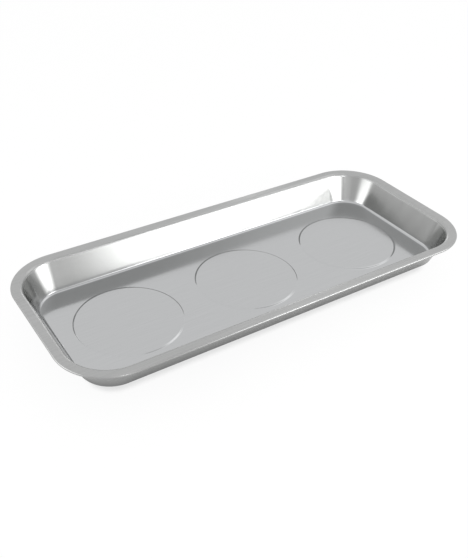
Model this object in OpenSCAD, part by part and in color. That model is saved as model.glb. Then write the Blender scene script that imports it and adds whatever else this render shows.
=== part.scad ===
// Magnetic parts tray: a pressed stainless steel pan with a hemmed rim, standing on a row of
// ring magnets. Each magnet lies under a raised pad of the floor, in a rubber boot that is
// clamped to a stud welded under the pad. Sizes are in millimetres. +X runs along the tray,
// +Z points up, and z = 0 is the ground under the boots.

/* [Tray pan] */
// Length over the rim
tray_l = 360; // [300:1:600]
// Width over the rim
tray_w = 160; // [140:1:220]
// Depth from the top of the rim to the floor
tray_depth = 25; // [14:0.5:36]
// Thickness of the steel sheet
sheet_t = 0.7; // [0.5:0.1:1.2]
// Radius of the rim's corners, at its outer edge
rim_corner_r = 42; // [36:1:60]
// Width of the flat rim, to where an unrounded wall would meet it
rim_w = 8; // [6:0.5:12]
// Lean of the walls, in degrees from upright
wall_draft = 22.5; // [5:0.5:32]
// Radius of the bend from the rim into the wall, on its upper face
rim_bend_r = 3; // [1.5:0.1:4]
// Radius of the bend from the wall into the floor, on its upper face
floor_bend_r = 2.5; // [1:0.5:8]
// Width of the edge folded back under the rim
hem_w = 4; // [3:0.5:4.5]
// Gap inside the folded edge
hem_gap = 0.6; // [0.2:0.1:1]

/* [Floor pads] */
// Height of the raised pads above the floor
pad_rise = 0.8; // [0.4:0.1:2]
// Width of the rounded step round a pad
pad_step_w = 1.8; // [1:0.1:4]
// Room between a pad's step and the boot under it
pad_gap = 1; // [0.5:0.1:4]

/* [Magnet and clamp plate] */
// Number of magnets along the floor
magnet_count = 3; // [1:1:3]
// Outer diameter of the ring magnet
magnet_od = 74; // [50:1:80]
// Bore of the ring magnet
magnet_id = 32; // [30:1:40]
// Thickness of the ring magnet
magnet_t = 7; // [5:0.5:12]
// Chamfer on the magnet's edges
magnet_chamfer = 0.6; // [0.2:0.1:1.5]
// Thickness of the clamp plate
plate_t = 1; // [0.6:0.1:2]
// How far the clamp plate stays inside the magnet's rim
plate_inset = 1.5; // [0.5:0.5:4]

/* [Rubber boot] */
// Wall round the magnet
boot_wall_t = 2.7; // [1.5:0.1:5]
// Least thickness under the clamp plate
boot_floor_t = 2; // [1:0.1:4]
// Thickness of the raised middle that the washer bears on
boot_hub_t = 1.5; // [1:0.1:2.5]
// Rounding of the bottom edge
boot_edge_r = 1.5; // [0.5:0.1:2]
// Rounding of the recess's mouth
boot_mouth_r = 0.8; // [0.3:0.1:1.5]
// Lean of the recess's wall, in degrees from upright
recess_draft = 12; // [0:1:20]
// Clearance round the magnet and under the clamp plate's hub
boot_gap = 0.3; // [0.2:0.1:1]

/* [Fasteners] */
// Diameter of the weld stud
stud_d = 5; // [4:0.5:6]
// Diameter of the stud's weld flange
stud_flange_d = 8; // [7:0.5:12]
// Thickness of the stud's weld flange
stud_flange_t = 0.6; // [0.4:0.1:1.2]
// Chamfer on the stud's end
stud_chamfer = 0.5; // [0.2:0.1:0.8]
// Stud showing past the nut
stud_end = 0.5; // [0:0.1:1.5]
// Width of the nut across its flats
nut_af = 8; // [7:0.5:11]
// Height of the nut
nut_t = 4; // [3:0.1:6]
// Height of the nut's round locking collar
nut_collar_t = 1; // [0.5:0.1:2]
// Wall of the locking collar beside the stud
nut_collar_wall = 1.1; // [0.6:0.1:1.4]
// Diameter of the washer
washer_d = 15; // [12:0.5:18]
// Thickness of the washer
washer_t = 1; // [0.6:0.1:2]
// Room for a socket round the washer
washer_gap = 1; // [0.5:0.1:2]
// Clearance round the stud in plain holes
hole_gap = 0.25; // [0.1:0.05:0.5]
// Clearance between the stud and the nut, in place of the thread
thread_gap = 0.1; // [0.05:0.05:0.2]
// Clearance between the weld flange and the clamp plate
flange_gap = 0.3; // [0.1:0.1:1]
// Least clearance from the stud's end to the ground
ground_gap = 0.8; // [0.3:0.1:3]

/* [Hidden] */
$fn = 96;
// Flat steps in each bend of a section
arc_steps = 10;
// Overrun of cuts past the faces that they open
cut_over = 1;

STEEL = [0.78, 0.78, 0.79];
FERRITE = [0.2, 0.2, 0.21];
ZINC = [0.66, 0.67, 0.7];
RUBBER = [0.08, 0.08, 0.09];

// Centres of the rim's corners
corner_x = tray_l / 2 - rim_corner_r;
corner_y = tray_w / 2 - rim_corner_r;

// Places on the sheet's section, measured outwards from a corner's centre and up from the floor
bend_turn = 90 - wall_draft;
floor_bend_run = floor_bend_r * tan(bend_turn / 2);
rim_bend_run = rim_bend_r * tan(bend_turn / 2);
wall_top = rim_corner_r - rim_w;
wall_foot = wall_top - tray_depth * tan(wall_draft);
hem_r = hem_gap / 2 + sheet_t;
floor_bend_c = [wall_foot - floor_bend_run, floor_bend_r];
rim_bend_c = [wall_top + rim_bend_run, tray_depth - rim_bend_r];
hem_c = [rim_corner_r - hem_r, tray_depth - hem_r];

// The boot goes round the magnet, and the pad and its step go round the boot
boot_inner_r = magnet_od / 2 + boot_gap;
boot_r = boot_inner_r + boot_wall_t;
pad_flat_r = boot_r + pad_gap;
pad_r = pad_flat_r + pad_step_w;

// Each pad lies in the middle of an equal share of the flat floor
floor_l = 2 * (corner_x + floor_bend_c.x);
pad_pitch = floor_l / magnet_count;

// The magnet sets the boot's height, unless the fasteners need more
clamp_stack = stud_flange_t + flange_gap + plate_t + boot_hub_t + washer_t;
fastener_stack = clamp_stack + nut_t + stud_end + ground_gap;
boot_h = max(boot_floor_t + plate_t + magnet_t, fastener_stack);
magnet_z = boot_h - magnet_t;
plate_z = magnet_z - plate_t;
plate_hub_z = boot_h - stud_flange_t - flange_gap;
boot_hub_z = plate_hub_z - plate_t;
washer_top_z = boot_hub_z - boot_hub_t;
nut_top_z = washer_top_z - washer_t;
nut_z = nut_top_z - nut_t;
floor_z = boot_h - pad_rise + sheet_t;

// Radii of the recess and of the hubs over it, at the height of the washer
stud_hole_r = stud_d / 2 + hole_gap;
recess_r = washer_d / 2 + washer_gap;
boot_hub_r = recess_r + boot_hub_t;
plate_hub_r = boot_hub_r + boot_gap;

function station_name(i) =
    i == (magnet_count - 1) / 2 ? "centre" :
    i == 0 ? "left" :
    i == magnet_count - 1 ? "right" : str("inner_", i);

STATIONS = [for (i = [0 : magnet_count - 1]) station_name(i)];
STATION_PIECES = ["weld_stud", "magnet_ring", "clamp_plate", "rubber_boot", "washer", "lock_nut"];

function reversed(points) = [for (i = [len(points) - 1 : -1 : 0]) points[i]];

function arc(centre, r, from, to) = [
    for (i = [0 : arc_steps])
        let (a = from + (to - from) * i / arc_steps)
        centre + r * [cos(a), sin(a)]
];

// One face of the sheet, lying s below its upper face: floor, wall, rim and folded edge
function sheet_face(s) = concat(
    [[0, -s]],
    arc(floor_bend_c, floor_bend_r + s, -90, -wall_draft),
    arc(rim_bend_c, rim_bend_r - s, 180 - wall_draft, 90),
    arc(hem_c, hem_r - s, 90, -90),
    [[rim_corner_r - hem_w, hem_c.y - hem_r + s]]
);

// A pad's face from its middle over the rounded step, lying s below its upper face
function pad_face(s) = concat(
    [[0, pad_rise - s]],
    [
        for (i = [0 : arc_steps])
            let (t = i / arc_steps)
            [pad_flat_r + pad_step_w * t, pad_rise * (1 + cos(180 * t)) / 2 - s]
    ]
);

// Radius at height z of a hub wall that is r at the height of the washer's seat
function hub_wall(r, z) = r + (washer_top_z - z) * tan(recess_draft);

module sheet_section() {
    polygon(concat(sheet_face(0), reversed(sheet_face(sheet_t))));
}

// A quarter turn of the section about the centre of one corner of the rim
module drawn_corner() {
    rotate_extrude(angle = 90) sheet_section();
}

// Two sides and two corners, which half a turn repeats
module half_of_walls() {
    translate([-corner_x, corner_y, 0]) rotate([90, 0, 90])
        linear_extrude(2 * corner_x) sheet_section();
    translate([corner_x, corner_y, 0]) rotate([90, 0, 0])
        linear_extrude(2 * corner_y) sheet_section();
    translate([corner_x, corner_y, 0]) drawn_corner();
    translate([-corner_x, corner_y, 0]) rotate([0, 0, 90]) drawn_corner();
}

module plain_pan() {
    for (turn = [0, 180]) rotate([0, 0, turn]) half_of_walls();
    translate([-corner_x, -corner_y, -sheet_t])
        cube([2 * corner_x, 2 * corner_y, sheet_t]);
}

module raised_pad() {
    rotate_extrude() polygon(concat(pad_face(0), reversed(pad_face(sheet_t))));
}

module at_station(i) {
    translate([(i - (magnet_count - 1) / 2) * pad_pitch, 0, 0]) children();
}

module tray_pan() {
    color(STEEL) translate([0, 0, floor_z]) {
        difference() {
            plain_pan();
            for (i = [0 : magnet_count - 1]) at_station(i)
                translate([0, 0, -sheet_t - cut_over])
                    cylinder(r = pad_r, h = sheet_t + 2 * cut_over);
        }
        for (i = [0 : magnet_count - 1]) at_station(i) raised_pad();
    }
}

module weld_stud() {
    color(ZINC) {
        translate([0, 0, boot_h - stud_flange_t])
            cylinder(d = stud_flange_d, h = stud_flange_t);
        translate([0, 0, nut_z - stud_end + stud_chamfer])
            cylinder(d = stud_d, h = boot_h - nut_z + stud_end - stud_chamfer);
        translate([0, 0, nut_z - stud_end])
            cylinder(d1 = stud_d - 2 * stud_chamfer, d2 = stud_d, h = stud_chamfer);
    }
}

module magnet_ring() {
    inner = magnet_id / 2;
    outer = magnet_od / 2;
    c = magnet_chamfer;
    color(FERRITE) translate([0, 0, magnet_z]) rotate_extrude() polygon([
        [inner + c, 0], [outer - c, 0], [outer, c], [outer, magnet_t - c],
        [outer - c, magnet_t], [inner + c, magnet_t], [inner, magnet_t - c], [inner, c]
    ]);
}

// Dished plate: its flange bears on the magnet, and its hub stands up in the magnet's bore
module clamp_plate() {
    under = plate_hub_z - plate_t;
    flange_top = plate_z + plate_t;
    color(ZINC) rotate_extrude() polygon([
        [stud_hole_r, under],
        [hub_wall(plate_hub_r, under), under],
        [hub_wall(plate_hub_r, plate_z), plate_z],
        [magnet_od / 2 - plate_inset, plate_z],
        [magnet_od / 2 - plate_inset, flange_top],
        [hub_wall(plate_hub_r, flange_top) + plate_t, flange_top],
        [hub_wall(plate_hub_r, plate_hub_z) + plate_t, plate_hub_z],
        [stud_hole_r, plate_hub_z]
    ]);
}

// Cup round the magnet and the plate, with the fasteners' recess in its underside
module rubber_boot() {
    mouth_turn = 90 - recess_draft;
    mouth_x = hub_wall(recess_r, 0) + boot_mouth_r * tan(mouth_turn / 2);
    color(RUBBER) rotate_extrude() polygon(concat(
        [[stud_hole_r, washer_top_z], [recess_r, washer_top_z]],
        arc([mouth_x, boot_mouth_r], boot_mouth_r, 180 + recess_draft, 270),
        arc([boot_r - boot_edge_r, boot_edge_r], boot_edge_r, -90, 0),
        [
            [boot_r, boot_h],
            [boot_inner_r, boot_h],
            [boot_inner_r, plate_z],
            [hub_wall(boot_hub_r, plate_z), plate_z],
            [hub_wall(boot_hub_r, boot_hub_z), boot_hub_z],
            [stud_hole_r, boot_hub_z]
        ]
    ));
}

module washer() {
    color(ZINC) translate([0, 0, nut_top_z]) difference() {
        cylinder(d = washer_d, h = washer_t);
        translate([0, 0, -cut_over]) cylinder(r = stud_hole_r, h = washer_t + 2 * cut_over);
    }
}

module lock_nut() {
    bore_r = stud_d / 2 + thread_gap;
    color(ZINC) translate([0, 0, nut_z]) difference() {
        union() {
            translate([0, 0, nut_collar_t])
                cylinder(d = nut_af / cos(30), h = nut_t - nut_collar_t, $fn = 6);
            cylinder(r = bore_r + nut_collar_wall, h = nut_collar_t);
        }
        translate([0, 0, -cut_over]) cylinder(r = bore_r, h = nut_t + 2 * cut_over);
    }
}

tray_pan();
for (i = [0 : magnet_count - 1]) at_station(i) {
    weld_stud();
    magnet_ring();
    clamp_plate();
    rubber_boot();
    washer();
    lock_nut();
}
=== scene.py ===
"""Looks of a magnetic parts tray: a pressed stainless steel pan that stands on booted ring magnets.

All sizes are in metres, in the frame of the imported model: +X along the tray, +Z up, ground at zero.
"""

import logging
import math
from collections.abc import Callable, Sequence
from dataclasses import dataclass, field
from enum import Enum
from itertools import pairwise
from typing import Any, Union

import bmesh
import bpy
from mathutils import Matrix, Vector


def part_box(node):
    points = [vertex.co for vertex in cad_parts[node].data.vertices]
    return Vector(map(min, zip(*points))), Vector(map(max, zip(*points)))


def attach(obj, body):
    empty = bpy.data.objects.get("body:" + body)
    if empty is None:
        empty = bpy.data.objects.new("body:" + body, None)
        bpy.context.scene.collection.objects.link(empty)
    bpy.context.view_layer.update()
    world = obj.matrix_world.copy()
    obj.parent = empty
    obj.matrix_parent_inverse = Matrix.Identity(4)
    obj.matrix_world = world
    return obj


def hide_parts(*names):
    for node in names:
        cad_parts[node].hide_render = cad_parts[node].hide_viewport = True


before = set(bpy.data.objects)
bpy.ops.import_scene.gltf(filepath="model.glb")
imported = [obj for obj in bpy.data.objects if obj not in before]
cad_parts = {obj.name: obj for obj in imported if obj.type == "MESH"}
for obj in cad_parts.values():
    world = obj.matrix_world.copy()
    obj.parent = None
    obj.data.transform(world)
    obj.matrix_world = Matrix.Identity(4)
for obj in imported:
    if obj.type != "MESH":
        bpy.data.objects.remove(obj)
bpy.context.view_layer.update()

LOG = logging.getLogger("tray")
BODY = "root"
MM = 0.001
WELD_GAP = 0.001 * MM
SHARP_ANGLE = math.radians(32.0)
ROUNDING_STEPS = 4

Point = tuple[float, float]
Space = tuple[float, float, float]
Colour = tuple[float, float, float]
Tint = Colour | bpy.types.NodeSocket
Operand = Union[float, "Wire"]
WHITE: Colour = (1.0, 1.0, 1.0)


class Slot(Enum):
    """Material slots of the record."""

    STAINLESS = "stainless"
    FERRITE = "ferrite"
    ZINC = "zinc_plated"
    RUBBER = "rubber"


class Station(Enum):
    """Places along the floor where a magnet sits."""

    LEFT = "left"
    CENTRE = "centre"
    RIGHT = "right"


class Mode(Enum):
    """Elements of a mesh that edit mode selects."""

    VERTS = "VERT"
    EDGES = "EDGE"
    FACES = "FACE"


class Piece(Enum):
    """Pieces under a pad: the end of the CAD node's name and the record's slot."""

    MAGNET = ("magnet_ring", Slot.FERRITE)
    PLATE = ("clamp_plate", Slot.ZINC)
    BOOT = ("rubber_boot", Slot.RUBBER)
    WASHER = ("washer", Slot.ZINC)
    STUD = ("weld_stud", Slot.ZINC)
    NUT = ("lock_nut", Slot.ZINC)

    @property
    def node(self) -> str:
        """End of the CAD node's name, after the station's."""
        return self.value[0]

    @property
    def slot(self) -> Slot:
        """The record's slot for the piece's finish."""
        return self.value[1]


class Wire:
    """A number in a node tree, on which arithmetic adds Math nodes."""

    def __init__(self, graph: "Graph", socket: bpy.types.NodeSocket) -> None:
        """Wraps a node's output socket.

        Args:
            graph: The tree that the socket is in.
            socket: The output that carries the number.
        """
        self.graph = graph
        self.socket = socket

    def _math(self, operation: str, first: Operand, second: Operand) -> "Wire":
        """Adds a Math node.

        Args:
            operation: The Math node's operation.
            first: Its first number or wire.
            second: Its second number or wire.

        Returns:
            The result as a wire.
        """
        node = self.graph.add("ShaderNodeMath", {"operation": operation}, {0: first, 1: second})
        return Wire(self.graph, node.outputs[0])

    def __add__(self, other: Operand) -> "Wire":
        """Adds a number or a wire."""
        return self._math("ADD", self, other)

    __radd__ = __add__

    def __sub__(self, other: Operand) -> "Wire":
        """Takes a number or a wire away."""
        return self._math("SUBTRACT", self, other)

    def __rsub__(self, other: Operand) -> "Wire":
        """Takes this wire away from a number."""
        return self._math("SUBTRACT", other, self)

    def __mul__(self, other: Operand) -> "Wire":
        """Multiplies by a number or a wire."""
        return self._math("MULTIPLY", self, other)

    __rmul__ = __mul__

    def most(self, other: Operand) -> "Wire":
        """Gives the larger of this wire and another."""
        return self._math("MAXIMUM", self, other)

    def ease(self, low: float, high: float) -> "Wire":
        """Eases from 0 at one value to 1 at another.

        Args:
            low: The value that gives 0.
            high: The value that gives 1.

        Returns:
            The eased wire.
        """
        node = self.graph.add(
            "ShaderNodeMapRange",
            {"interpolation_type": "SMOOTHSTEP"},
            {"Value": self, "From Min": low, "From Max": high},
        )
        return Wire(self.graph, node.outputs[0])


class Graph:
    """A node tree that is filled from empty."""

    def __init__(self, tree: bpy.types.NodeTree) -> None:
        """Empties a node tree and keeps it.

        Args:
            tree: The tree of a material or a world.
        """
        tree.nodes.clear()
        self.tree = tree

    def add(
        self, kind: str, settings: dict[str, Any], sockets: dict[str | int, Any]
    ) -> bpy.types.Node:
        """Adds one node.

        Args:
            kind: The node's type.
            settings: Its properties, set first.
            sockets: Values, wires or output sockets for its inputs, by name or number.

        Returns:
            The node.
        """
        node = self.tree.nodes.new(kind)
        for name, value in settings.items():
            setattr(node, name, value)
        for name, value in sockets.items():
            source = value.socket if isinstance(value, Wire) else value
            if isinstance(source, bpy.types.NodeSocket):
                self.tree.links.new(source, node.inputs[name])
            else:
                node.inputs[name].default_value = source
        return node

    def own(self) -> bpy.types.NodeSocket:
        """Gives the object's own coordinates."""
        return self.add("ShaderNodeTexCoord", {}, {}).outputs["Object"]

    def split(self, vector: bpy.types.NodeSocket) -> list[Wire]:
        """Gives a vector's X, Y and Z."""
        axes = self.add("ShaderNodeSeparateXYZ", {}, {0: vector})
        return [Wire(self, number) for number in axes.outputs]

    def rays(self) -> tuple[Wire, Wire]:
        """Tells the rays that the camera sends from those that metal and glass send.

        Returns:
            A wire that is 1 on camera rays, and one that is 1 on glossy and transmitted rays.
        """
        path = self.add("ShaderNodeLightPath", {}, {})
        names = ("Is Camera Ray", "Is Glossy Ray", "Is Transmission Ray")
        camera, glossy, through = (Wire(self, path.outputs[name]) for name in names)
        return camera, glossy.most(through)

    def noise(self, stretch: Sequence[float], detail: float = 2.0, roughness: float = 0.5) -> Wire:
        """Adds soft noise on the object's coordinates.

        Args:
            stretch: Noise cells for each metre along X, Y and Z.
            detail: Octaves of finer noise.
            roughness: How strong the finer octaves are.

        Returns:
            The noise, about 0 to 1 with a middle of 0.5.
        """
        place = self.add("ShaderNodeMapping", {}, {"Vector": self.own(), "Scale": tuple(stretch)})
        node = self.add(
            "ShaderNodeTexNoise",
            {},
            {"Vector": place.outputs[0], "Scale": 1.0, "Detail": detail, "Roughness": roughness},
        )
        return Wire(self, node.outputs[0])

    def blend(self, share: Wire, first: Tint, second: Tint) -> bpy.types.NodeSocket:
        """Blends two colours.

        Args:
            share: How much of the second colour shows.
            first: Colour or colour socket at 0.
            second: Colour or colour socket at 1.

        Returns:
            The blended colour's socket.
        """
        ends = [(*tint, 1.0) if isinstance(tint, tuple) else tint for tint in (first, second)]
        node = self.add("ShaderNodeMix", {"data_type": "RGBA"}, {0: share, 6: ends[0], 7: ends[1]})
        return node.outputs[2]

    def shade(self, colour: bpy.types.NodeSocket, level: Wire) -> bpy.types.NodeSocket:
        """Makes a colour lighter or darker.

        Args:
            colour: The colour's socket.
            level: What it is multiplied by.

        Returns:
            The shaded colour's socket.
        """
        node = self.add("ShaderNodeVectorMath", {"operation": "SCALE"}, {0: colour, "Scale": level})
        return node.outputs[0]

    def bump(self, height: Wire, depth: float, strength: float) -> bpy.types.NodeSocket:
        """Turns a height into a normal.

        Args:
            height: Height from 0 to 1.
            depth: What a height of 1 measures, in metres.
            strength: Share of the effect.

        Returns:
            The normal's socket.
        """
        node = self.add(
            "ShaderNodeBump", {}, {"Height": height, "Distance": depth, "Strength": strength}
        )
        return node.outputs["Normal"]

    def principled(self, sockets: dict[str | int, Any]) -> None:
        """Joins a Principled shader with these inputs to the tree's output."""
        self.surface(self.add("ShaderNodeBsdfPrincipled", {}, sockets))

    def surface(self, shader: bpy.types.Node) -> None:
        """Joins a shader to the tree's output."""
        self.add("ShaderNodeOutputMaterial", {}, {"Surface": shader.outputs[0]})


def new_material(name: str) -> tuple[bpy.types.Material, Graph]:
    """Makes an empty node material.

    Args:
        name: The material's name.

    Returns:
        The material and its node tree.
    """
    material = bpy.data.materials.new(name)
    material.use_nodes = True
    return material, Graph(material.node_tree)


@dataclass(frozen=True)
class BrightStainless:
    """Bright stainless sheet: a near mirror in the floor, streaked up the walls, satin on the rim.

    The walls' finish comes in over a band of heights above the floor, and the rim's below the top.
    """

    floor: float
    top: float
    name: str = "bright_stainless"
    floor_grey: Colour = (0.494, 0.500, 0.506)
    wall_grey: Colour = (0.410, 0.414, 0.409)
    rim_grey: Colour = (0.414, 0.417, 0.415)
    wall_band: Point = (0.4 * MM, 4 * MM)
    rim_band: Point = (2.8 * MM, 1.8 * MM)
    floor_roughness: float = 0.12
    wall_roughness: float = 0.15
    rim_roughness: float = 0.3
    streak: float = 0.75
    streak_turn: float = 0.25
    grain_cells: Space = (25.0, 1400.0, 1400.0)
    grain_depth: float = 0.0012 * MM
    grain_spread: float = 0.04
    grain_shade: float = 0.13
    floor_grain: float = 0.3
    smudge_cells: Space = (14.0, 22.0, 22.0)
    smudge_spread: float = 0.04
    draw_cells: Space = (120.0, 120.0, 8.0)
    draw_spread: float = 0.025
    draw_shade: float = 0.04
    mark_ease: Point = (0.25, 0.75)
    ripple_cells: Space = (30.0, 30.0, 20.0)
    ripple_depth: float = 0.1 * MM

    def make(self) -> bpy.types.Material:
        """Builds the finish as a node material.

        Returns:
            The material.
        """
        material, graph = new_material(self.name)
        grain = graph.noise(self.grain_cells, detail=3.0, roughness=0.6)
        smudge = graph.noise(self.smudge_cells, detail=3.0)
        *_, height = graph.split(graph.own())
        wall = height.ease(*(self.floor + rise for rise in self.wall_band))
        rim = height.ease(*(self.top - drop for drop in self.rim_band))
        drawn = wall * (1.0 - rim)
        marks = drawn * (graph.noise(self.draw_cells, detail=3.0).ease(*self.mark_ease) - 0.5)
        ripple = drawn * graph.noise(self.ripple_cells, detail=0.0)
        roughness = (
            self.floor_roughness
            + (self.wall_roughness - self.floor_roughness) * wall
            + (self.rim_roughness - self.wall_roughness) * rim
            + self.grain_spread * (grain - 0.5)
            + self.smudge_spread * (smudge - 0.5)
            + self.draw_spread * marks
        )
        grey = graph.blend(rim, graph.blend(wall, self.floor_grey, self.wall_grey), self.rim_grey)
        grained = self.grain_shade * (self.floor_grain + (1.0 - self.floor_grain) * rim)
        shade = 1.0 + grained * (grain.ease(*self.mark_ease) - 0.5) + self.draw_shade * marks
        graph.principled(
            {
                "Base Color": graph.shade(grey, shade),
                "Metallic": 1.0,
                "Roughness": roughness,
                "Anisotropic": self.streak,
                "Anisotropic Rotation": self.streak_turn,
                "Normal": graph.bump(self.grain_depth * grain + self.ripple_depth * ripple, 1.0, 1.0),
            }
        )
        return material


@dataclass(frozen=True)
class ZincPlate:
    """Bright zinc plating with a faint blue and straw tint."""

    name: str = "zinc_plate"
    blue: Colour = (0.57, 0.59, 0.63)
    straw: Colour = (0.62, 0.60, 0.54)
    roughness: float = 0.26
    tint_cells: Space = (160.0, 160.0, 160.0)
    tint_ease: Point = (0.35, 0.7)
    fleck_cells: Space = (1500.0, 1500.0, 1500.0)
    fleck_spread: float = 0.12
    fleck_depth: float = 0.01 * MM
    fleck_bump: float = 0.4

    def make(self) -> bpy.types.Material:
        """Builds the finish as a node material.

        Returns:
            The material.
        """
        material, graph = new_material(self.name)
        tint = graph.noise(self.tint_cells)
        fleck = graph.noise(self.fleck_cells, detail=4.0)
        graph.principled(
            {
                "Base Color": graph.blend(tint.ease(*self.tint_ease), self.blue, self.straw),
                "Metallic": 1.0,
                "Roughness": self.roughness + self.fleck_spread * (fleck - 0.5),
                "Normal": graph.bump(fleck, self.fleck_depth, self.fleck_bump),
            }
        )
        return material


@dataclass(frozen=True)
class MouldedRubber:
    """Matt black rubber with a fine moulded skin and a little dust."""

    name: str = "moulded_rubber"
    black: Colour = (0.016, 0.016, 0.017)
    dusty: Colour = (0.045, 0.044, 0.042)
    roughness: float = 0.68
    gloss: float = 0.4
    skin_cells: Space = (2200.0, 2200.0, 2200.0)
    skin_depth: float = 0.03 * MM
    skin_bump: float = 0.6
    dust_cells: Space = (70.0, 70.0, 70.0)
    dust_ease: Point = (0.48, 0.8)
    dust_spread: float = 0.2

    def make(self) -> bpy.types.Material:
        """Builds the finish as a node material.

        Returns:
            The material.
        """
        material, graph = new_material(self.name)
        skin = graph.noise(self.skin_cells, detail=3.0)
        dust = graph.noise(self.dust_cells, detail=6.0, roughness=0.65)
        graph.principled(
            {
                "Base Color": graph.blend(dust.ease(*self.dust_ease), self.black, self.dusty),
                "Roughness": self.roughness + self.dust_spread * (dust - 0.5),
                "Specular IOR Level": self.gloss,
                "Normal": graph.bump(skin, self.skin_depth, self.skin_bump),
            }
        )
        return material


@dataclass(frozen=True)
class SinteredFerrite:
    """Dark sintered ferrite with a ground face."""

    name: str = "sintered_ferrite"
    dark: Colour = (0.035, 0.035, 0.038)
    pale: Colour = (0.075, 0.075, 0.08)
    roughness: float = 0.55
    grit_cells: Space = (900.0, 900.0, 900.0)
    grit_ease: Point = (0.3, 0.75)
    grit_spread: float = 0.2
    grit_depth: float = 0.02 * MM
    grit_bump: float = 0.5

    def make(self) -> bpy.types.Material:
        """Builds the finish as a node material.

        Returns:
            The material.
        """
        material, graph = new_material(self.name)
        grit = graph.noise(self.grit_cells, detail=5.0, roughness=0.7)
        graph.principled(
            {
                "Base Color": graph.blend(grit.ease(*self.grit_ease), self.dark, self.pale),
                "Roughness": self.roughness + self.grit_spread * (grit - 0.5),
                "Normal": graph.bump(grit, self.grit_depth, self.grit_bump),
            }
        )
        return material


@dataclass(frozen=True)
class StudioFloor:
    """White table: white to the camera and in the metal, with the tray's own shade on it.

    The camera sees a contact shade close to the tray. The metal shows a wider one, which comes in over
    a band of distances from the foot of the walls. A share of the real shading stays in both.
    """

    corner: Point
    foot_r: float
    name: str = "studio_floor"
    white: Colour = (0.95, 0.95, 0.95)
    pale: Colour = (0.65, 0.65, 0.65)
    contact: Colour = (0.36, 0.36, 0.36)
    contact_reach: float = 12 * MM
    contact_samples: int = 32
    contact_ease: Point = (0.45, 0.67)
    camera_share: float = 0.93
    mirrored: Colour = (0.12, 0.12, 0.12)
    mirrored_band: Point = (-4 * MM, 7 * MM)
    mirror_share: float = 0.5

    def make(self) -> bpy.types.Material:
        """Builds the table's finish as a node material.

        Returns:
            The material.
        """
        material, graph = new_material(self.name)
        camera, mirror = graph.rays()
        nearby = graph.add(
            "ShaderNodeAmbientOcclusion",
            {"samples": self.contact_samples},
            {"Distance": self.contact_reach},
        )
        sky = Wire(graph, nearby.outputs["AO"]).ease(*self.contact_ease)
        seen = graph.blend(sky, self.contact, WHITE)
        mirrored = graph.blend(self._outside(graph), self.mirrored, WHITE)
        colour = graph.blend(camera, self.pale, self.white)
        matt = graph.add("ShaderNodeBsdfDiffuse", {}, {"Color": colour})
        glow = graph.add("ShaderNodeEmission", {}, {"Color": graph.blend(camera, mirrored, seen)})
        share = (camera * self.camera_share).most(mirror * self.mirror_share)
        mix = graph.add(
            "ShaderNodeMixShader", {}, {0: share, 1: matt.outputs[0], 2: glow.outputs[0]}
        )
        graph.surface(mix)
        return material

    def _outside(self, graph: Graph) -> Wire:
        """Eases from 0 inside the foot of the tray's walls to 1 outside it.

        Args:
            graph: The table's node tree.

        Returns:
            The eased wire.
        """
        x, y, _ = graph.split(graph.own())
        past_x = (x.most(0.0 - x) - self.corner[0]).most(0.0)
        past_y = (y.most(0.0 - y) - self.corner[1]).most(0.0)
        inner, outer = (self.foot_r + reach for reach in self.mirrored_band)
        return (past_x * past_x + past_y * past_y).ease(inner**2, outer**2)


def arc(centre: Point, radius: float, start: float, end: float, steps: int) -> list[Point]:
    """Points along an arc of a section.

    Args:
        centre: Centre of the arc.
        radius: Its radius.
        start: Angle of its first point, in degrees.
        end: Angle of its last point, in degrees.
        steps: Flat steps that it is divided into.

    Returns:
        The points, first and last included.
    """
    angles = [math.radians(start + (end - start) * i / steps) for i in range(steps + 1)]
    return [(centre[0] + radius * math.cos(a), centre[1] + radius * math.sin(a)) for a in angles]


def rounded(corners: Sequence[Space]) -> list[Point]:
    """Rounds the corners of a closed section.

    Args:
        corners: Radius, height and rounding of each corner, in order.

    Returns:
        The section's points.
    """
    points: list[Point] = []
    for i, (r, z, rounding) in enumerate(corners):
        corner = Vector((r, z))
        back = (Vector(corners[i - 1][:2]) - corner).normalized()
        ahead = (Vector(corners[(i + 1) % len(corners)][:2]) - corner).normalized()
        half = back.angle(ahead) / 2
        centre = corner + (back + ahead).normalized() * (rounding / math.sin(half))
        first = corner + back * (rounding / math.tan(half)) - centre
        last = corner + ahead * (rounding / math.tan(half)) - centre
        start = math.degrees(math.atan2(first.y, first.x))
        turn = math.degrees(math.atan2(last.y, last.x)) - start
        # The arc goes the short way round
        turn = (turn + 180) % 360 - 180
        points += arc((centre.x, centre.y), rounding, start, start + turn, ROUNDING_STEPS)
    return points


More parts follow.
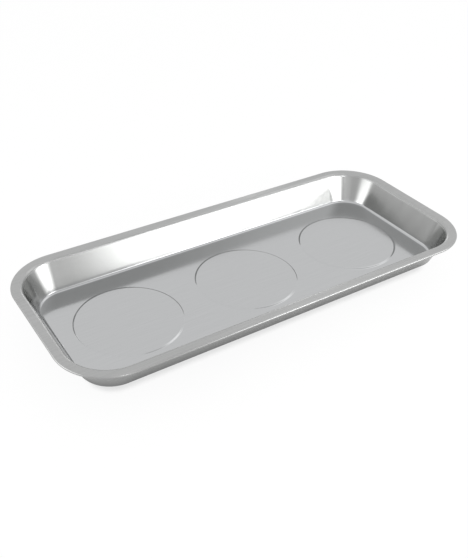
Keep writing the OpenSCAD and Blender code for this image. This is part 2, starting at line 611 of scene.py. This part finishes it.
class Bench:
    """Modelling steps that every piece shares."""

    @staticmethod
    def clear() -> None:
        """Leaves edit mode and deselects every object."""
        if bpy.context.object and bpy.context.object.mode != "OBJECT":
            bpy.ops.object.mode_set(mode="OBJECT")
        bpy.ops.object.select_all(action="DESELECT")

    @staticmethod
    def take(piece: bpy.types.Object) -> None:
        """Selects one piece alone and makes it the active one.

        Args:
            piece: The piece.
        """
        Bench.clear()
        piece.select_set(True)
        bpy.context.view_layer.objects.active = piece

    @staticmethod
    def edit(piece: bpy.types.Object, mode: Mode = Mode.FACES) -> None:
        """Opens a piece in edit mode.

        Args:
            piece: The piece to open.
            mode: Which of its elements are selected.
        """
        Bench.take(piece)
        bpy.ops.object.mode_set(mode="EDIT")
        bpy.ops.mesh.select_mode(type=mode.value)

    @staticmethod
    def pick(piece: bpy.types.Object, mode: Mode, wanted: Callable[[Any], bool]) -> None:
        """Selects the edges or the faces of an open piece that fit a test, and no others.

        Args:
            piece: The piece, in edit mode.
            mode: Which of its elements are tested, edges or faces.
            wanted: The test.
        """
        bpy.ops.mesh.select_mode(type=mode.value)
        bpy.ops.mesh.select_all(action="DESELECT")
        mesh = bmesh.from_edit_mesh(piece.data)
        for element in mesh.edges if mode is Mode.EDGES else mesh.faces:
            if wanted(element):
                element.select_set(True)
        bmesh.update_edit_mesh(piece.data)

    @staticmethod
    def modify(piece: bpy.types.Object, kind: str, **settings: Any) -> None:
        """Adds a modifier to a piece and applies it.

        Args:
            piece: The piece.
            kind: The modifier's type.
            settings: The modifier's properties.
        """
        Bench.take(piece)
        modifier = piece.modifiers.new(kind.lower(), kind)
        for name, value in settings.items():
            setattr(modifier, name, value)
        bpy.ops.object.modifier_apply(modifier=modifier.name)

    @staticmethod
    def turn(name: str, section: Sequence[Point], sides: int, bored: bool = True) -> bpy.types.Object:
        """Turns a section about the upright axis at the origin, ring by ring.

        Args:
            name: The piece's name.
            section: Radius and height of each corner, all round a section with a bore, and else from
                its lower end to its upper one.
            sides: Flat sides of each ring.
            bored: Whether the section has a bore, and so is closed.

        Returns:
            The turned piece.
        """
        Bench.clear()
        radius, height = section[0]
        bpy.ops.mesh.primitive_circle_add(
            vertices=sides,
            radius=radius,
            fill_type="NOTHING" if bored else "NGON",
            location=(0.0, 0.0, height),
        )
        piece = bpy.context.object
        piece.name = name
        Bench.edit(piece, Mode.EDGES if bored else Mode.FACES)
        bpy.ops.mesh.select_all(action="SELECT")
        extrude = bpy.ops.mesh.extrude_edges_move if bored else bpy.ops.mesh.extrude_region_move
        for (r, z), (next_r, next_z) in pairwise([*section, section[0]] if bored else section):
            extrude(TRANSFORM_OT_translate={"value": (0.0, 0.0, next_z - z)})
            scale = next_r / r
            bpy.ops.transform.resize(value=(scale, scale, 1.0), center_override=(0.0, 0.0, next_z))
        bpy.ops.mesh.select_all(action="SELECT")
        bpy.ops.mesh.remove_doubles(threshold=WELD_GAP)
        bpy.ops.mesh.normals_make_consistent(inside=False)
        Bench.clear()
        return piece

    @staticmethod
    def finish(piece: bpy.types.Object) -> None:
        """Puts a piece's place into its mesh and smooths its rounded faces.

        Args:
            piece: The piece.
        """
        Bench.take(piece)
        bpy.ops.object.transform_apply(location=True, rotation=True, scale=True)
        bpy.ops.object.shade_smooth_by_angle(angle=SHARP_ANGLE)
        piece.data.name = piece.name

    @staticmethod
    def fit(piece: bpy.types.Object, node: str, slot: Slot, material: bpy.types.Material) -> None:
        """Dresses a piece and lets it stand for a CAD node.

        Args:
            piece: The finished piece.
            node: The CAD node that it replaces.
            slot: The record's slot for its finish; not used.
            material: Its finish.
        """
        piece.data.materials.clear()
        piece.data.materials.append(material)
        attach(piece, BODY)
        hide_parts(node)
        LOG.info("%s: %d faces, for %s", piece.name, len(piece.data.polygons), node)


@dataclass
class TrayPan:
    """The pressed pan: one sheet from the folded edge of its rim to the pads in its floor."""

    node: str = "tray_pan"
    depth: float = 25 * MM
    sheet: float = 0.7 * MM
    corner_r: float = 42 * MM
    rim_w: float = 8 * MM
    wall_draft: float = 22.5
    rim_bend_r: float = 3 * MM
    floor_bend_r: float = 2.5 * MM
    hem_w: float = 4 * MM
    hem_gap: float = 0.6 * MM
    pad_flat_r: float = 41 * MM
    pad_step_w: float = 1.8 * MM
    pad_rise: float = 0.8 * MM
    margin: float = 0.7 * MM
    seam_gap: float = 0.01 * MM
    level_gap: float = 0.07 * MM
    corner_steps: int = 32
    bend_steps: int = 14
    hem_steps: int = 8
    pad_steps: int = 12
    pad_sides: int = 128
    size: Vector = field(init=False)
    top: float = field(init=False)

    def __post_init__(self) -> None:
        """Takes the pan's length, width and height from the frame."""
        low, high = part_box(self.node)
        self.size = high - low
        self.top = high.z

    @property
    def floor(self) -> float:
        """Height of the floor's upper face."""
        return self.top - self.depth

    @property
    def hem_r(self) -> float:
        """Outer radius of the rim's folded edge."""
        return self.hem_gap / 2 + self.sheet

    @property
    def hem(self) -> Point:
        """Centre of the fold at the rim's edge, outwards from a corner's centre and up."""
        return self.corner_r - self.hem_r, self.top - self.hem_r

    @property
    def half_turn(self) -> float:
        """Half the angle that the sheet turns through at each end of a wall."""
        return math.radians(90 - self.wall_draft) / 2

    @property
    def corner(self) -> Point:
        """Centre of the corner at the far right."""
        return self.size.x / 2 - self.corner_r, self.size.y / 2 - self.corner_r

    @property
    def foot_r(self) -> float:
        """Radius of the corners where an unrounded wall would meet the floor."""
        return self.corner_r - self.rim_w - self.depth * math.tan(math.radians(self.wall_draft))

    @property
    def floor_bend(self) -> Point:
        """Centre of the bend into the floor, outwards from a corner's centre and up."""
        setback = self.floor_bend_r * math.tan(self.half_turn)
        return self.foot_r - setback, self.floor + self.floor_bend_r

    def pad_x(self, station: Station) -> float:
        """Place of a station's pad along the tray."""
        low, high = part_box(f"{station.value}_rubber_boot")
        return (low.x + high.x) / 2

    def upper_section(self) -> list[Point]:
        """Gives the sheet's face from the rim's outer edge over the rim and down to the floor.

        Returns:
            Distance from a corner's centre and height of each point.
        """
        setback = self.rim_bend_r * math.tan(self.half_turn)
        rim_bend = (self.corner_r - self.rim_w + setback, self.top - self.rim_bend_r)
        edge = arc(self.hem, self.hem_r, 0, 90, self.hem_steps)
        rim = [(edge[-1][0] - self.margin, self.top), (rim_bend[0] + self.margin, self.top)]
        lip = arc(rim_bend, self.rim_bend_r, 90, 180 - self.wall_draft, self.bend_steps)
        foot = arc(self.floor_bend, self.floor_bend_r, -self.wall_draft, -90, self.bend_steps)
        flat = [(foot[-1][0] - self.margin, self.floor)]
        return [*edge, *rim, *lip, *foot, *flat]

    def lower_section(self) -> list[Point]:
        """Gives the sheet's face from the rim's outer edge round the fold to its free edge.

        Returns:
            Distance from a corner's centre and height of each point.
        """
        fold = arc(self.hem, self.hem_r, 0, -90, self.hem_steps)
        return [*fold, (self.corner_r - self.hem_w, fold[-1][1])]

    def _blank(self, name: str) -> bpy.types.Object:
        """Adds a flat blank with the rim's rounded outline, at the height of its outer edge.

        Args:
            name: The blank's name.

        Returns:
            The blank, in edit mode with its face selected.
        """
        Bench.clear()
        bpy.ops.mesh.primitive_plane_add(size=1.0, location=(0.0, 0.0, self.top - self.hem_r))
        blank = bpy.context.object
        blank.name = name
        blank.scale = (self.size.x, self.size.y, 1.0)
        bpy.ops.object.transform_apply(location=False, rotation=False, scale=True)
        Bench.edit(blank, Mode.VERTS)
        bpy.ops.mesh.select_all(action="SELECT")
        bpy.ops.mesh.bevel(
            offset=self.corner_r, segments=self.corner_steps, affect="VERTICES", profile=0.5
        )
        bpy.ops.mesh.select_mode(type=Mode.FACES.value)
        bpy.ops.mesh.select_all(action="SELECT")
        return blank

    @staticmethod
    def _draw(section: Sequence[Point]) -> None:
        """Draws the selected face inwards along a section, one inset for each step."""
        for (u, z), (next_u, next_z) in pairwise(section):
            bpy.ops.mesh.inset(thickness=u - next_u, depth=next_z - z, use_even_offset=True)

    def _press_pads(self, pan: bpy.types.Object) -> None:
        """Opens the floor and sets a raised disc into it at each station.

        Args:
            pan: The pan, in edit mode with its floor's face selected.
        """
        bpy.ops.mesh.delete(type="ONLY_FACE")
        outer = self.pad_flat_r + self.pad_step_w + self.margin
        for station in Station:
            bpy.ops.mesh.select_all(action="DESELECT")
            bpy.ops.mesh.primitive_circle_add(
                vertices=self.pad_sides,
                radius=outer,
                fill_type="NGON",
                location=(self.pad_x(station), 0.0, self.floor),
            )
            self._draw(self._pad_section(outer))
        level = self.floor - pan.location.z

        def open_edge(edge: bmesh.types.BMEdge) -> bool:
            """Tells an open edge that lies in the floor."""
            return edge.is_boundary and all(abs(v.co.z - level) < self.level_gap for v in edge.verts)

        def turned_down(face: bmesh.types.BMFace) -> bool:
            """Tells a face in the floor that points down."""
            return face.normal.z < 0 and abs(face.calc_center_median().z - level) < self.level_gap

        Bench.pick(pan, Mode.EDGES, open_edge)
        bpy.ops.mesh.fill(use_beauty=True)
        # Fill may leave its triangles pointing down
        Bench.pick(pan, Mode.FACES, turned_down)
        bpy.ops.mesh.flip_normals()

    def _pad_section(self, outer: float) -> list[Point]:
        """Gives a pad's rounded step from the floor to its flat top.

        Args:
            outer: Radius of the flat margin round the pad.

        Returns:
            Radius and height of each point, from the outside in.
        """
        steps = [i / self.pad_steps for i in range(self.pad_steps + 1)]
        step = [
            (
                self.pad_flat_r + self.pad_step_w * (1 - t),
                self.floor + self.pad_rise * (1 - math.cos(math.pi * t)) / 2,
            )
            for t in steps
        ]
        top = (self.pad_flat_r - self.margin, self.floor + self.pad_rise)
        return [(outer, self.floor), *step, top]

    def build(self) -> bpy.types.Object:
        """Models the pan's sheet and gives it its thickness.

        Returns:
            The pan.
        """
        # Both blanks have the rim's outline, so the fold and the upper face weld along it
        fold = self._blank("pan_fold")
        self._draw(self.lower_section())
        bpy.ops.mesh.delete(type="ONLY_FACE")
        bpy.ops.mesh.select_all(action="SELECT")
        bpy.ops.mesh.flip_normals()
        pan = self._blank("pan")
        self._draw(self.upper_section())
        self._press_pads(pan)
        Bench.clear()
        fold.select_set(True)
        pan.select_set(True)
        bpy.context.view_layer.objects.active = pan
        bpy.ops.object.join()
        Bench.edit(pan)
        bpy.ops.mesh.select_all(action="SELECT")
        bpy.ops.mesh.remove_doubles(threshold=self.seam_gap)
        Bench.modify(pan, "SOLIDIFY", thickness=self.sheet, offset=-1.0, use_even_offset=True)
        Bench.finish(pan)
        return pan


@dataclass
class MagnetSet:
    """The six pieces under one pad, modelled once about the middle pad's axis."""

    magnet_r: float = 37 * MM
    magnet_bore_r: float = 16 * MM
    magnet_chamfer: float = 0.6 * MM
    plate_r: float = 35.5 * MM
    plate_t: float = 1 * MM
    plate_inner_bend: float = 0.4 * MM
    plate_outer_bend: float = 1.2 * MM
    boot_r: float = 40 * MM
    boot_wall: float = 2.7 * MM
    boot_hub: float = 1.5 * MM
    boot_edge: float = 1.5 * MM
    boot_mouth: float = 0.8 * MM
    boot_lip: float = 0.5 * MM
    boot_inside: float = 0.3 * MM
    boot_seat: float = 0.2 * MM
    recess_r: float = 8.5 * MM
    recess_draft: float = 12.0
    clearance: float = 0.3 * MM
    stud_r: float = 2.5 * MM
    stud_hole_r: float = 2.75 * MM
    stud_chamfer: float = 0.5 * MM
    weld_flange: Point = (4 * MM, 0.6 * MM)
    thread_pitch: float = 0.8 * MM
    thread_depth: float = 0.4 * MM
    crest_share: float = 0.1
    flank_share: float = 0.4
    root_share: float = 0.1
    washer_r: float = 7.5 * MM
    washer_edge: float = 0.25 * MM
    washer_mouth: float = 0.15 * MM
    washer_burr: float = 0.08 * MM
    nut_flats: float = 8 * MM
    nut_sides: int = 6
    nut_slope: float = 0.45 * MM
    nut_bore_r: float = 2.6 * MM
    nut_mouth: float = 0.4 * MM
    cutter_heights: float = 4.0
    collar: Point = (3.7 * MM, 1 * MM)
    collar_edge: float = 0.35 * MM
    collar_mouth: float = 0.2 * MM
    fine_edge: float = 0.1 * MM
    sides: int = 128

    def _heights(self, piece: Piece) -> Point:
        """Lower and upper end of one of the pieces."""
        low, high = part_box(f"{Station.CENTRE.value}_{piece.node}")
        return low.z, high.z

    def _lean(self, radius: float, z: float) -> float:
        """Radius at a height of a hub wall that has the given radius at the washer's seat."""
        seat = self._heights(Piece.WASHER)[1]
        return radius + (seat - z) * math.tan(math.radians(self.recess_draft))

    def magnet_ring(self) -> bpy.types.Object:
        """Models the ferrite ring with its broken edges.

        Returns:
            The ring.
        """
        low, high = self._heights(Piece.MAGNET)
        c = self.magnet_chamfer
        inner = self.magnet_bore_r
        outer = self.magnet_r
        section = [
            (inner + c, low), (outer - c, low), (outer, low + c), (outer, high - c),
            (outer - c, high), (inner + c, high), (inner, high - c), (inner, low + c),
        ]
        return Bench.turn("magnet_ring_look", section, self.sides)

    def clamp_plate(self) -> bpy.types.Object:
        """Models the dished plate with its rounded bends.

        Returns:
            The plate.
        """
        low, high = self._heights(Piece.PLATE)
        t = self.plate_t
        hub = self.recess_r + self.boot_hub + self.clearance
        section = rounded(
            [
                (self.stud_hole_r, high - t, self.fine_edge),
                (self._lean(hub, high - t), high - t, self.plate_inner_bend),
                (self._lean(hub, low), low, self.plate_outer_bend),
                (self.plate_r, low, self.fine_edge),
                (self.plate_r, low + t, self.fine_edge),
                (self._lean(hub, low + t) + t, low + t, self.plate_inner_bend),
                (self._lean(hub, high) + t, high, self.plate_outer_bend),
                (self.stud_hole_r, high, self.fine_edge),
            ]
        )
        return Bench.turn("clamp_plate_look", section, self.sides)

    def rubber_boot(self) -> bpy.types.Object:
        """Models the moulded cup with its soft edges and the recess in its underside.

        Returns:
            The boot.
        """
        low, high = self._heights(Piece.BOOT)
        plate = self._heights(Piece.PLATE)[0]
        seat = self._heights(Piece.WASHER)[1]
        hub = self.recess_r + self.boot_hub
        hub_top = seat + self.boot_hub
        inner = self.boot_r - self.boot_wall
        section = rounded(
            [
                (self.stud_hole_r, seat, self.fine_edge),
                (self.recess_r, seat, self.boot_seat),
                (self._lean(self.recess_r, low), low, self.boot_mouth),
                (self.boot_r, low, self.boot_edge),
                (self.boot_r, high, self.boot_lip),
                (inner, high, self.boot_inside),
                (inner, plate, self.boot_inside),
                (self._lean(hub, plate), plate, self.boot_seat),
                (self._lean(hub, hub_top), hub_top, self.boot_inside),
                (self.stud_hole_r, hub_top, self.fine_edge),
            ]
        )
        return Bench.turn("rubber_boot_look", section, self.sides)

    def washer(self) -> bpy.types.Object:
        """Models the washer with the rounded edges that stamping leaves.

        Returns:
            The washer.
        """
        low, high = self._heights(Piece.WASHER)
        section = rounded(
            [
                (self.stud_hole_r, low, self.washer_burr),
                (self.washer_r, low, self.washer_edge),
                (self.washer_r, high, self.washer_burr),
                (self.stud_hole_r, high, self.washer_mouth),
            ]
        )
        return Bench.turn("washer_look", section, self.sides)

    def weld_stud(self) -> bpy.types.Object:
        """Models the stud with its chamfered end, thread crests and weld flange.

        Returns:
            The stud.
        """
        low, high = self._heights(Piece.STUD)
        flange_r, flange_t = self.weld_flange
        flange = high - flange_t
        pitch = self.thread_pitch
        root = self.stud_r - self.thread_depth
        section = [(self.stud_r - self.stud_chamfer, low), (self.stud_r, low + self.stud_chamfer)]
        z = section[-1][1]
        while z + pitch < flange:
            crest = z + self.crest_share * pitch
            section += [
                (self.stud_r, crest),
                (root, crest + self.flank_share * pitch),
                (root, crest + (self.flank_share + self.root_share) * pitch),
                (self.stud_r, z + pitch),
            ]
            z += pitch
        section += [
            (self.stud_r, flange),
            (flange_r - self.fine_edge, flange),
            (flange_r, flange + self.fine_edge),
            (flange_r, high),
        ]
        return Bench.turn("weld_stud_look", section, self.sides // 2, bored=False)

    def lock_nut(self) -> bpy.types.Object:
        """Models the nut: a turned blank with a collar and a chamfer, cut to a hexagon.

        Returns:
            The nut.
        """
        low, high = self._heights(Piece.NUT)
        collar_r, collar_h = self.collar
        half_side = math.pi / self.nut_sides
        corner = self.nut_flats / 2 / math.cos(half_side)
        blank = corner + self.fine_edge
        shoulder = low + collar_h
        edge = self.collar_edge
        section = [
            *arc((collar_r - edge, low + edge), edge, -90, 0, ROUNDING_STEPS),
            (collar_r, shoulder),
            (self.nut_flats / 2 - self.fine_edge, shoulder),
            (blank, shoulder + self.nut_slope),
            (blank, high - self.fine_edge),
            (corner - self.fine_edge, high),
            (self.nut_bore_r + self.nut_mouth, high),
            (self.nut_bore_r, high - self.nut_mouth),
            (self.nut_bore_r, low + self.collar_mouth),
            (self.nut_bore_r + self.collar_mouth, low),
        ]
        nut = Bench.turn("lock_nut_look", section, self.sides)
        bpy.ops.mesh.primitive_cylinder_add(
            vertices=self.nut_sides,
            radius=corner,
            depth=self.cutter_heights * (high - low),
            location=(0.0, 0.0, (low + high) / 2),
            rotation=(0.0, 0.0, half_side),
        )
        hexagon = bpy.context.object
        Bench.modify(nut, "BOOLEAN", object=hexagon, operation="INTERSECT", solver="EXACT")
        bpy.data.objects.remove(hexagon)
        return nut

    def build(self) -> dict[Piece, bpy.types.Object]:
        """Models every piece and smooths it.

        Returns:
            The model of each piece.
        """
        models = {
            Piece.MAGNET: self.magnet_ring(),
            Piece.PLATE: self.clamp_plate(),
            Piece.BOOT: self.rubber_boot(),
            Piece.WASHER: self.washer(),
            Piece.STUD: self.weld_stud(),
            Piece.NUT: self.lock_nut(),
        }
        for model in models.values():
            Bench.finish(model)
        return models


@dataclass
class MagnetStation:
    """One magnet under the pan, with the boot, washer, nut and stud that hold it there."""

    station: Station
    x: float

    def build(
        self, models: dict[Piece, bpy.types.Object], finishes: dict[Slot, bpy.types.Material]
    ) -> None:
        """Puts a copy of each model in the station's place.

        Args:
            models: The models about the middle pad's axis, which stay there for the middle station.
            finishes: The finish for each slot.
        """
        for piece, model in models.items():
            look = model if self.station is Station.CENTRE else self._copy(model)
            node = f"{self.station.value}_{piece.node}"
            look.name = f"{node}_look"
            look.data.name = look.name
            Bench.fit(look, node, piece.slot, finishes[piece.slot])

    def _copy(self, model: bpy.types.Object) -> bpy.types.Object:
        """Copies a model with its mesh and moves it to the station's axis.

        Args:
            model: The model to copy.

        Returns:
            The copy.
        """
        Bench.take(model)
        bpy.ops.object.duplicate(linked=False)
        copy = bpy.context.object
        bpy.ops.transform.translate(value=(self.x, 0.0, 0.0))
        bpy.ops.object.transform_apply(location=True, rotation=True, scale=True)
        return copy


@dataclass(frozen=True)
class PhotoCamera:
    """The camera at the photograph's viewing angle, with its angles in radians."""

    turn: float = -0.58461
    rise: float = 0.61594
    roll: float = 0.02354
    distance: float = 619.15 * MM
    slide: Point = (-10.129 * MM, -0.655 * MM)
    focal_px: float = 751.61
    image_height_px: float = 558.0
    sensor: float = 36.0

    def build(self, target: Vector) -> None:
        """Adds the camera and makes it the scene's own.

        Args:
            target: The point that it looks at before it slides.
        """
        back = Vector(
            (
                math.sin(self.turn) * math.cos(self.rise),
                -math.cos(self.turn) * math.cos(self.rise),
                math.sin(self.rise),
            )
        )
        level = Vector((math.cos(self.turn), math.sin(self.turn), 0.0))
        upright = back.cross(level)
        right = math.cos(self.roll) * level + math.sin(self.roll) * upright
        up = math.cos(self.roll) * upright - math.sin(self.roll) * level
        place = target + back * self.distance + right * self.slide[0] + up * self.slide[1]
        data = bpy.data.cameras.new("camera")
        data.sensor_width = self.sensor
        data.lens = self.sensor * self.focal_px / self.image_height_px
        camera = bpy.data.objects.new("camera", data)
        axes = Matrix((right, up, back)).transposed()
        camera.matrix_world = Matrix.Translation(place) @ axes.to_4x4()
        bpy.context.scene.collection.objects.link(camera)
        bpy.context.scene.camera = camera


@dataclass(frozen=True)
class SoftBox:
    """A soft rectangular lamp.

    It fades over shares of its width, at its start and at its end, and of its height at both edges.
    """

    name: str
    place: Space
    facing: Space
    size: Point
    radiance: float
    fade: Space

    def build(self) -> None:
        """Adds the lamp."""
        data = bpy.data.lights.new(self.name, "AREA")
        data.shape = "RECTANGLE"
        data.size, data.size_y = self.size
        data.energy = self.radiance * math.pi * self.size[0] * self.size[1]
        data.use_nodes = True
        self._fade(Graph(data.node_tree))
        lamp = bpy.data.objects.new(self.name, data)
        lamp.location = self.place
        lamp.rotation_euler = Vector(self.facing).to_track_quat("-Z", "Y").to_euler()
        lamp.visible_camera = False
        bpy.context.scene.collection.objects.link(lamp)

    def _fade(self, graph: Graph) -> None:
        """Makes the light weaker towards the lamp's edges.

        Args:
            graph: The lamp's node tree.
        """
        spot = graph.add("ShaderNodeNewGeometry", {}, {})
        across, upright, _ = graph.split(spot.outputs["Parametric"])
        start, end, side = self.fade
        ends = across.ease(0.0, start) * (1.0 - across).ease(0.0, end)
        sides = upright.ease(0.0, side) * (1.0 - upright).ease(0.0, side)
        glow = graph.add("ShaderNodeEmission", {}, {"Strength": ends * sides})
        graph.add("ShaderNodeOutputLight", {}, {"Surface": glow.outputs[0]})


@dataclass(frozen=True)
class Card:
    """A grey card out of the camera's sight, that only the metal shows."""

    name: str
    place: Space
    facing: Space
    size: Point
    level: float

    def build(self) -> None:
        """Adds the card with its even grey."""
        Bench.clear()
        bpy.ops.mesh.primitive_plane_add(size=1.0, location=self.place)
        card = bpy.context.object
        card.name = self.name
        card.scale = (*self.size, 1.0)
        card.rotation_euler = Vector(self.facing).to_track_quat("Z", "Y").to_euler()
        card.visible_camera = False
        card.visible_diffuse = False
        card.visible_shadow = False
        material, graph = new_material(f"{self.name}_grey")
        graph.surface(graph.add("ShaderNodeEmission", {}, {"Strength": self.level}))
        card.data.materials.append(material)


@dataclass
class Studio:
    """White table, even surround, soft lamps and the cards between them."""

    pan: TrayPan
    table_size: float = 6.0
    surround: float = 1.0
    ambient: float = 0.95
    lamps: tuple[SoftBox, ...] = (
        SoftBox(
            "front_box", place=(0.3925, -0.36, 0.15), facing=(0, 1, 0),
            size=(0.815, 0.24), radiance=4.0, fade=(0.245, 0.72, 0.2),
        ),
        SoftBox(
            "fill_box", place=(-0.165, -0.36, 0.15), facing=(0, 1, 0),
            size=(0.39, 0.24), radiance=0.2, fade=(0.3, 0.15, 0.2),
        ),
        SoftBox(
            "low_box", place=(-0.20, -1.0, 0.705), facing=(0, 1, 0),
            size=(0.26, 0.18), radiance=7.5, fade=(0.2, 0.2, 0.12),
        ),
        SoftBox(
            "left_box", place=(-0.5, 0.08, 0.15), facing=(1, 0, 0),
            size=(0.68, 0.24), radiance=2.0, fade=(0.3, 0.42, 0.2),
        ),
        SoftBox(
            "rim_box", place=(-0.5, 0.52, 0.32), facing=(1, -0.6, -0.3),
            size=(0.4, 0.26), radiance=0.5, fade=(0.3, 0.3, 0.3),
        ),
        SoftBox(
            "top_box", place=(0.75, 0.0, 0.80), facing=(0, 0, -1),
            size=(1.1, 0.8), radiance=0.5, fade=(0.4, 0.3, 0.25),
        ),
        SoftBox(
            "back_box", place=(1.12, 1.71, 0.49), facing=(-1.3, -1.7, -0.45),
            size=(0.3, 0.55), radiance=2.2, fade=(0.3, 0.3, 0.3),
        ),
    )
    cards: tuple[Card, ...] = (
        Card("side_card", place=(-0.62, -0.68, 0.31), facing=(1, 0, 0), size=(1.16, 0.60), level=0.82),
        Card("rear_card", place=(-0.62, 0.65, 0.10), facing=(1, 0, 0), size=(0.50, 0.20), level=0.65),
        Card("low_card", place=(-0.50, -1.30, 0.28), facing=(0, 1, 0), size=(0.60, 0.50), level=0.65),
        Card("high_card", place=(0.40, -0.65, 0.82), facing=(0, 0, -1), size=(0.80, 0.70), level=0.7),
    )

    def build(self) -> None:
        """Adds the table, the surround, the lamps and the cards."""
        Bench.clear()
        bpy.ops.mesh.primitive_plane_add(size=self.table_size, location=(0.0, 0.0, 0.0))
        table = bpy.context.object
        table.name = "table"
        table.data.materials.append(StudioFloor(self.pan.corner, self.pan.foot_r).make())
        self._light_surround()
        for fitting in (*self.lamps, *self.cards):
            fitting.build()

    def _light_surround(self) -> None:
        """Makes the world white to the camera and in the metal, and a little lower as a light."""
        world = bpy.data.worlds.new("surround")
        world.use_nodes = True
        bpy.context.scene.world = world
        graph = Graph(world.node_tree)
        camera, mirror = graph.rays()
        strength = self.ambient + (self.surround - self.ambient) * camera.most(mirror)
        glow = graph.add("ShaderNodeBackground", {}, {"Color": (*WHITE, 1.0), "Strength": strength})
        graph.add("ShaderNodeOutputWorld", {}, {"Surface": glow.outputs[0]})


def main() -> None:
    """Builds the tray's looks, the studio and the camera."""
    logging.basicConfig(level=logging.INFO, format="%(message)s")
    bpy.context.scene.view_settings.view_transform = "Standard"
    pan = TrayPan()
    finishes = {
        Slot.STAINLESS: BrightStainless(pan.floor, pan.top).make(),
        Slot.ZINC: ZincPlate().make(),
        Slot.RUBBER: MouldedRubber().make(),
        Slot.FERRITE: SinteredFerrite().make(),
    }
    Bench.fit(pan.build(), pan.node, Slot.STAINLESS, finishes[Slot.STAINLESS])
    models = MagnetSet().build()
    # The middle station comes last, because it takes the models themselves
    for station in sorted(Station, key=lambda s: s is Station.CENTRE):
        MagnetStation(station, pan.pad_x(station)).build(models, finishes)
    middle = Vector((0.0, 0.0, pan.floor))
    Studio(pan).build()
    PhotoCamera().build(middle)


if __name__ == "__main__":
    main()
